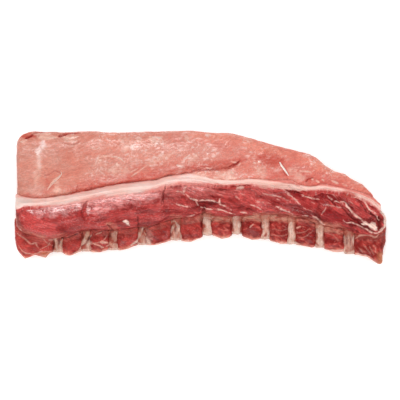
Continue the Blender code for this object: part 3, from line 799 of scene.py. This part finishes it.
# The front edge of the band of fat: x, y, how softly its white ends, how far pink film goes on, mm
FAT_EDGE = [
    (-190, -13, 1, 1), (-181, -9.3, 1, 1), (-165, -8, 2.5, 5), (-145, -8, 3.5, 6), (-124, -3.9, 6, 9),
    (-104, 1.8, 5, 12), (-83, 2.2, 5, 9), (-62, 5, 5, 10), (-42, 11.5, 4, 10), (-21, 16, 4, 9),
    (0, 15.1, 3, 8), (25, 13.4, 1, 4), (51, 14.1, 2.5, 4), (77, 9.5, 2, 2), (102, 6.9, 1, 1),
    (128, 8.6, 1.2, 3), (154, 4.8, 1.2, 2), (175, -5, 2, 3), (186, -14, 2, 2),
]
CAP_GRISTLE = (0.86, 0.50, 0.42)
CAP_FAT = (0.88, 0.62, 0.53)
CAP_WHITE = [
    (1.5, 0.8, -15, 3, -9, -2, 0, -3, 12, -3, 19, -6), (1.5, 0.9, 19, -1, 20, -7, 26, -10, 32, -13),
    (1.3, 0.8, -25, -7, -17, -9, -10, -11), (1.3, 0.8, 0, -10, 7, -12, 16, -12, 24, -14, 36, -17),
    (1.3, 0.8, 41, -15, 51, -17), (1.3, 0.8, 51, -8, 57, -10, 63, -13), (1.2, 0.6, -5, -4, -2, -9),
    (1.3, 0.7, -14, 12, -17, 7), (2.4, 0.6, -16, 11, -17, 5), (1.2, 0.5, -14, -20, -6, -18),
    (1.8, 1, 78, -10, 84, -13, 91, -15, 95, -18), (1.4, 0.8, 87, 5, 93, 1, 98, -4, 103, -8),
    (1.5, 0.9, 102, 3, 110, 0, 122, -2), (1.3, 0.7, 105, -19, 116, -20, 120, -22, 125, -27, 128, -28),
    (1.2, 0.5, 124, -18, 128, -12, 130, -8, 136, -9, 142, -10, 148, -11),
    (1.1, 0.8, 130, 2, 135, -2, 139, -4, 144, -6), (1.4, 0.6, -25, 6, -20, 6, -16, 2),
    ((1.3, 2.6), 1, 144, -5, 148, -5, 150, -9, 153, -12, 157, -17, 161, -20, 166, -23, 170, -26, 176, -30),
    (1.2, 1, 157, 0, 162, -1, 168, -4, 171, -9, 174, -13, 178, -15, 181, -19, 185, -24),
    ((0.9, 2.2), 0.85, 146, -24, 150, -26, 156, -26, 161, -28, 167, -31, 172, -34, 178, -37, 183, -37,
     188, -32, 191, -26, 191, -18), (1, 0.5, 151, -2, 156, -6, 160, -10),
    (1.6, 0.6, -190, -15, -189, -28, -184, -34), (3, 0.8, 60, 11, 70, 10),
    (2.4, 0.7, 66, 13, 77, 10, 83, 11), (1.4, 0.5, 84, 8, 92, 4), (1.4, 0.6, 36, 1, 40, -2),
    (1.4, 0.5, 56, -3, 72, -7), (1.3, 0.5, 64, 4, 82, 0, 92, -4),
]
CAP_FATTY = [
    (2, 1, 166, -27, 176, -28), (5.4, 1, 173, -28, 181, -31), (2.6, 1, 178, -32, 182, -34),
    (2.2, 1, -80, -25, -77, -25, -75, -26, -73, -28), (6.5, 0.9, 37, 13, 43, 11),
    ((3.4, 4.8), 1, 184, -8, 189, -14, 191, -22, 190, -31),
    (3, 0.8, 157, 5, 170, 0, 180, -6, 187, -16, 189, -22), (4.5, 0.5, -189, -2, -190, -12),
]
# Clefts carved into the cap muscle and darkened with painted shade
CAP_CLEFTS = [
    (1.8, 0.5, -115, -3, -118, -6, -121, -15, -119, -23), (1.1, 0.75, -36, 14, -37, 8, -38, -6),
    (3, 0.7, 4, -10, 3, -22), (1.6, 0.6, -64, -20, -64, -32),
    (1.8, 0.75, 148, -12, 154, -19, 161, -24, 169, -29, 174, -34, 180, -36),
    (1, 0.6, 166, -6, 169, -12, 172, -16, 177, -18, 181, -22), (4, 1, 184, -20, 185, -34),
    (5, 0.6, 122, -8, 120, -16, 122, -26), (1.8, 0.6, 144, -8, 150, -15, 158, -21),
    (1.6, 0.5, 90, 12, 97, 7, 103, 4), (1.6, 0.7, -8, -4, -3, -6, 6, -6, 16, -8),
    (1.8, 0.7, -96, -28, -90, -33), (1.6, 0.6, 143, 0, 152, -8, 160, -15),
]
# Wet silver skin on its back at the wide end, with painted highlights where light shines on it
CAP_SILVER_AND_SHINE = [
    (15, 0.8, -176, -12, -150, -11, -124, -9), (12, 0.4, -112, -6, -90, -4, -65, -2, -42, 2),
    (4, 1, -114, -6, -115, -18), (8, 0.15, -104, -1, -84, 6, -62, 8, -40, 10),
    (5, 0.4, -112, -16, -95, -15), (9, 0.5, -111, -9, -88, -10),
]
# Where a thin film covers its back
CAP_FILMED = [
    (13, 1, -112, -6, -96, -5), (10, 0.7, -96, -4, -78, -4), (12, 1, -66, 0, -42, 5, -18, 6),
    (11, 0.9, -18, 7, 0, 8, 14, 5), (11, 0.35, 18, 4, 50, 5, 88, 3),
]
CAP_BRIGHT = [
    (18, 0.9, -180, -22, -165, -30, -148, -37), (11, 0.8, 158, -8, 164, -14, 172, -20),
    (8, 0.7, -95, -30, -84, -32), (9, 0.5, 0, -15, 26, -15, 52, -17), (10, 0.3, -30, -22, -15, -24),
    (9, 0.4, 125, -20, 140, -24, 150, -28), (11, 0.5, 25, 5, 55, 2),
]
# Patches of deep crimson meat, and painted shade along the two creases
CAP_CRIMSON_AND_SHADE = [
    (4.5, 1, -115, -3, -118, -6, -121, -15, -119, -24), (2.6, 0.7, -37, 14, -38, 4, -37, -6),
    (12, 0.9, 96, 1, 108, -5, 120, -12), (11, 0.8, 124, -17, 140, -19, 150, -23), (9, 0.6, 66, 0, 84, -3),
    (8, 0.6, 120, 3, 138, -1),
]
CAP_BROWN = [
    (6.5, 0.9, -96, -28, -86, -30), (7, 0.8, 2, -17, 12, -20), (6, 0.6, -30, -19, -18, -22),
    (6, 0.8, 55, -17, 80, -20, 100, -21), (6, 0.8, 100, -21, 122, -27, 150, -33),
    (4, 0.6, -154, -41, -137, -38), (5, 0.4, -190, -18, -184, -34, -172, -39),
    (3.5, 0.7, -181, -36, -169, -39, -156, -42),
]
# A fibre's course in plan, which all the others follow beside it
CAP_FIBRE = (-192, 8, -160, -2, -120, -12, -80, -11, -40, -10, 0, -19, 60, -38, 120, -62, 192, -104)


def under_fat(places, facing, meat):
    """The colours of meat under the front edge of the band of fat: white behind it, pink film before it."""
    behind = places[:, 1] - by_x(places, FAT_EDGE) + 0.8 * lumps(places, (5, 3, 3), 511)
    behind += 0.3 * lumps(places, (2, 1.5, 1.5), 512)
    reach = by_x(places, FAT_EDGE, 3) * (1 + 0.6 * lumps(places, (2.2, 8, 8), 513))
    film = ease(1 + behind / np.maximum(reach, 0.5)) * on_top(facing, 0.15, 0.4)
    white = film * ease(0.5 + behind / by_x(places, FAT_EDGE, 2))
    pale = blend(FAT_CREAM, FAT_WARM, ease(0.35 + 0.6 * lumps(places, (13, 6, 6), 404)),
                 FAT_BLUSH, 0.8 * ease((places[:, 0] - 20) / 40))
    return blend(meat, CAP_FILM, film, FAT_FILM, 0.9 * ease(film * 1.6 - 0.6), pale, white)


cap = fine_copy("cap_muscle", CAP_SKIN, smoothing=4)
thin_below(cap, CAP_KEPT)
places, facing = surface(cap)
x, y, z = places.T
drawn_on = wavering(places)
upward = on_top(facing, 0.15, 0.4)
grain = np.column_stack([x, y - by_x(places, curved(CAP_FIBRE)), z])
grain += np.column_stack([
    5 * lumps(places, 20, 501), 1.8 * lumps(places, 14, 502), 1.8 * lumps(places, 14, 503)])
white, fatty, cleft, silver_and_shine, bright, brown, crimson_and_shade = (
    upward * marks(drawn_on, strokes, fade=0.3)
    for strokes in (CAP_WHITE, CAP_FATTY, CAP_CLEFTS, CAP_SILVER_AND_SHINE, CAP_BRIGHT, CAP_BROWN, CAP_CRIMSON_AND_SHADE))
coarse = lumps(grain, (24, 5.5, 5.5), 504)
strands = lumps(grain, (12, 2.7, 2.7), 505)
threads = lumps(grain, (6, 1.1, 1.1), 506)
patches = lumps(places, (16, 9, 9), 507)
smoother = by_x(places, CAP_SMOOTHER)
relief = 0.55 * lumps(places, (22, 10, 10), 508)
relief += smoother * (0.45 * coarse + 0.32 * strands + 0.12 * threads)
relief += 0.35 * white + 0.3 * fatty - 1.5 * cleft
reshape(cap, places + facing * relief[:, None])
narrow_end = ease((x - 70) / 70)
ridge = upward * marks(drawn_on, CAP_FILMED, fade=0.8)
streaked = smoother * (1 + 0.7 * narrow_end) * (0.42 * coarse + 0.4 * strands + 0.15 * threads)
colour = under_fat(places, facing, blend(
    CAP_DEEP,
    CAP_RED, 0.5 + streaked + 0.3 * patches - 0.15 * narrow_end,
    CAP_BRIGHT_RED, 0.8 * bright * ease(0.8 + 0.4 * strands),
    # crimson meat, and painted shade along the creases
    CAP_CRIMSON_SHADE_RED, 0.7 * crimson_and_shade * ease(0.7 - 0.6 * strands),
    CAP_FILM, ridge * ease(0.6 + 0.4 * strands + 0.3 * patches)))
glints = ease((lumps(grain, (1.6, 1.1, 1.1), 509) - 0.1) / 0.5)
streaky = ease((strands + 0.5 * threads - 0.75) / 0.3) * ease((x + 60) / 60)
colour = blend(
    colour,
    # silver skin and painted highlight
    CAP_SILVER_SHINE_PINK, silver_and_shine * ease(0.42 + 0.3 * strands + 0.25 * threads + 0.4 * glints),
    CAP_GRISTLE, 0.35 * streaky * upward,
    blend(MEMBRANE_BROWN, MEMBRANE_PALE, 0.3 + 0.6 * strands), 0.9 * brown * ease(0.8 + 0.5 * strands),
    # painted shade in the clefts
    CLEFT_SHADE, cleft * ease(0.85 + 0.4 * threads),
    CAP_GRISTLE, white * ease(0.75 + 0.8 * lumps(places, (2.5, 2, 2), 510)),
    CAP_FAT, fatty)
wet = (0.2 + 0.7 * silver_and_shine + 0.15 * patches) * (1 - 0.8 * cleft)
glinting = (0.14 + 0.6 * silver_and_shine + 0.14 * patches) * (1 - cleft) * (1 - 0.7 * crimson_and_shade)
cap_finish = moist_material("dark_meat", (0.80, 0.38, 0.35), 0.14, (5, 1.2), 0.25, 0.5)
finished(cap, "dark_meat", cap_finish, "cap_muscle",
         grain=grain, colour=colour, wet=wet, glinting=glinting)


# The band of fat
# Soft white fat fills the furrow between the two long muscles. It is thick at the wide end of the rack, runs
# out over the cap muscle in a pink film, and thins to a bright line towards the narrow end.

FAT_SKIN = 0.6
FAT_SWELL = 0.7  # how far it swells against the two muscles, until it touches them
FAT_GREY = (0.74, 0.57, 0.51)
FAT_SHADE_PINK = (0.80, 0.42, 0.36)
FAT_LIP = 3.0  # how far its front edge spreads over the cap muscle, mm
FAT_THICKNESS = 0.8  # how thickly it lies on that muscle there
FAT_CLEAR = 0.1  # how far its thin front edge stays above that muscle
# How far back it swells, by x
FAT_BACKWARD = [(-190, 2.6), (-165, 1.4), (-145, 0.5), (-30, 0.5), (-10, 2.3)]
FAT_FILLING = 5.0  # how far it fills the furrow against the loin, towards the narrow end
# Its back edge against the loin towards the narrow end
FAT_BACK = [(60, 17.5), (77, 16.0), (102, 11.8), (128, 11.8), (154, 7.3), (175, -1.4), (186, -9.5)]

fat = fine_copy("seam_fat", FAT_SKIN, smoothing=4)
places, facing = surface(fat)
x, y = places.T[:2]
front, back = limits(places, 0, 1, 2)
from_seam = (back - y) / np.maximum(back - front, 1)
streaks = lumps(places, (14, 2.5, 2.5), 401)
relief = 0.4 * lumps(places, (11, 5, 5), 402) + 0.25 * lumps(places, (4, 3, 3), 403) + FAT_SWELL
moved = places + facing * relief[:, None]
upward = on_top(facing, 0.1, 0.5)
furrow_filled = ease((x + 25) / 15)  # where the furrow is filled up, and no shade is painted in it
near_loin, near_cap = ease((0.45 - from_seam) / 0.4), ease((from_seam - 0.6) / 0.4)
moved[:, 1] += by_x(places, FAT_BACKWARD) * near_loin - FAT_LIP * near_cap * (0.8 + 0.5 * streaks)
moved[:, 2] += upward * FAT_FILLING * (0.15 + 0.85 * furrow_filled) * near_loin
cap_top = BVHTree.FromObject(cap, bpy.context.evaluated_depsgraph_get())
over_cap = upward * ease((from_seam - 0.5) / 0.3)
for i in np.flatnonzero(over_cap > 0.02):
    below = cap_top.ray_cast((moved[i, 0] * MM, moved[i, 1] * MM, OVERHEAD), (0, 0, -1))[0]
    if below:
        lift = below.z / MM + FAT_CLEAR + FAT_THICKNESS * (1 - near_cap[i]) - moved[i, 2]
        moved[i, 2] += over_cap[i] * (lift if lift > 0 else lift * near_cap[i])
reshape(fat, moved)
wide_end = ease((-163 - x) / 15)
worn = ease(1.4 - np.abs(x - 154) / 7)
behind = moved[:, 1] - by_x(moved, FAT_BACK) + 0.5 * streaks
over_loin = ease(0.5 + behind / 1.4) * ease((x - 62) / 14)
drawn_on, on_lip = wavering(moved), 0.85 * upward * near_cap
colour = blend(
    under_fat(moved, facing, np.multiply(CAP_RED, 0.9)),
    # painted shade: pink, then red, along the fat's back edge in the crease against the loin, towards the
    # wide end
    FAT_SHADE_PINK, 0.9 * ease((0.36 + 0.1 * streaks - from_seam) / 0.25) * (1 - furrow_filled),
    FAT_GREY, 0.85 * wide_end * ease((from_seam - 0.1) / 0.2) * ease((0.8 - from_seam) / 0.3),
    LOIN_RED, 0.6 * worn,
    LOIN_COLOURS[-1][1:], 0.9 * over_loin,
    # painted shade in the crease against the loin
    LOIN_RED, 0.8 * ease((0.1 - from_seam) / 0.07) * (1 - furrow_filled),
    # painted shade in the cap's clefts, carried on over the fat's lip
    CLEFT_SHADE, on_lip * marks(drawn_on, CAP_CLEFTS, fade=0.3),
    CAP_GRISTLE, on_lip * marks(drawn_on, CAP_WHITE, fade=0.3),
    CAP_FAT, on_lip * marks(drawn_on, CAP_FATTY, fade=0.3))
fat_finish = moist_material("fat", (0.90, 0.68, 0.61), 0.25, (8, 1.6), 0.04, 0.25)
finished(fat, "fat", fat_finish, "seam_fat", grain=places, colour=colour, wet=0.2 + 0.2 * streaks,
         glinting=np.full(len(places), 0.25))


# The floor and the light
# A plain pale table under a soft light from behind the rack, with larger ones in front and at both ends.

floor_mesh = bmesh.new()
bmesh.ops.create_grid(floor_mesh, x_segments=1, y_segments=1, size=3)
floor_data = bpy.data.meshes.new("floor")
floor_mesh.to_mesh(floor_data)
floor_mesh.free()
floor = placed("floor", floor_data)
floor_paint = bpy.data.materials.new("floor")
floor_paint.use_nodes = True
feed(floor_paint.node_tree, floor_paint.node_tree.nodes["Principled BSDF"], {
    "Base Color": (0.93, 0.93, 0.92, 1), "Roughness": 0.7,
    "Emission Color": (1, 1, 0.99, 1), "Emission Strength": 0.35})
floor_data.materials.append(floor_paint)

# Each lamp's name, place, width and depth, m, and watts; all shine at the middle of the rack
LAMPS = [
    ("back_light", (-0.15, 0.75, 1.05), 0.7, 0.35, 9),
    ("front_light", (0.1, -1, 0.95), 1.6, 0.7, 12),
    ("left_light", (-1.1, 0.1, 0.8), 0.7, 1.2, 4.5),
    ("right_light", (1.1, 0.1, 0.8), 0.7, 1.2, 4.5),
]
for name, (x, y, z), width, depth, watts in LAMPS:
    light = bpy.data.lights.new(name, "AREA")
    light.shape = "RECTANGLE"
    light.size, light.size_y, light.energy = width, depth, watts
    lamp = placed(name, light)
    lamp.location = x, y, z
    lamp.rotation_euler = math.atan2(math.hypot(x, y), z), 0, math.atan2(x, -y)

world = bpy.data.worlds.new("room")
world.use_nodes = True
feed(world.node_tree, world.node_tree.nodes["Background"], {"Color": (1, 1, 1, 1), "Strength": 0.18})
bpy.context.scene.world = world
bpy.context.scene.view_settings.view_transform = "Standard"
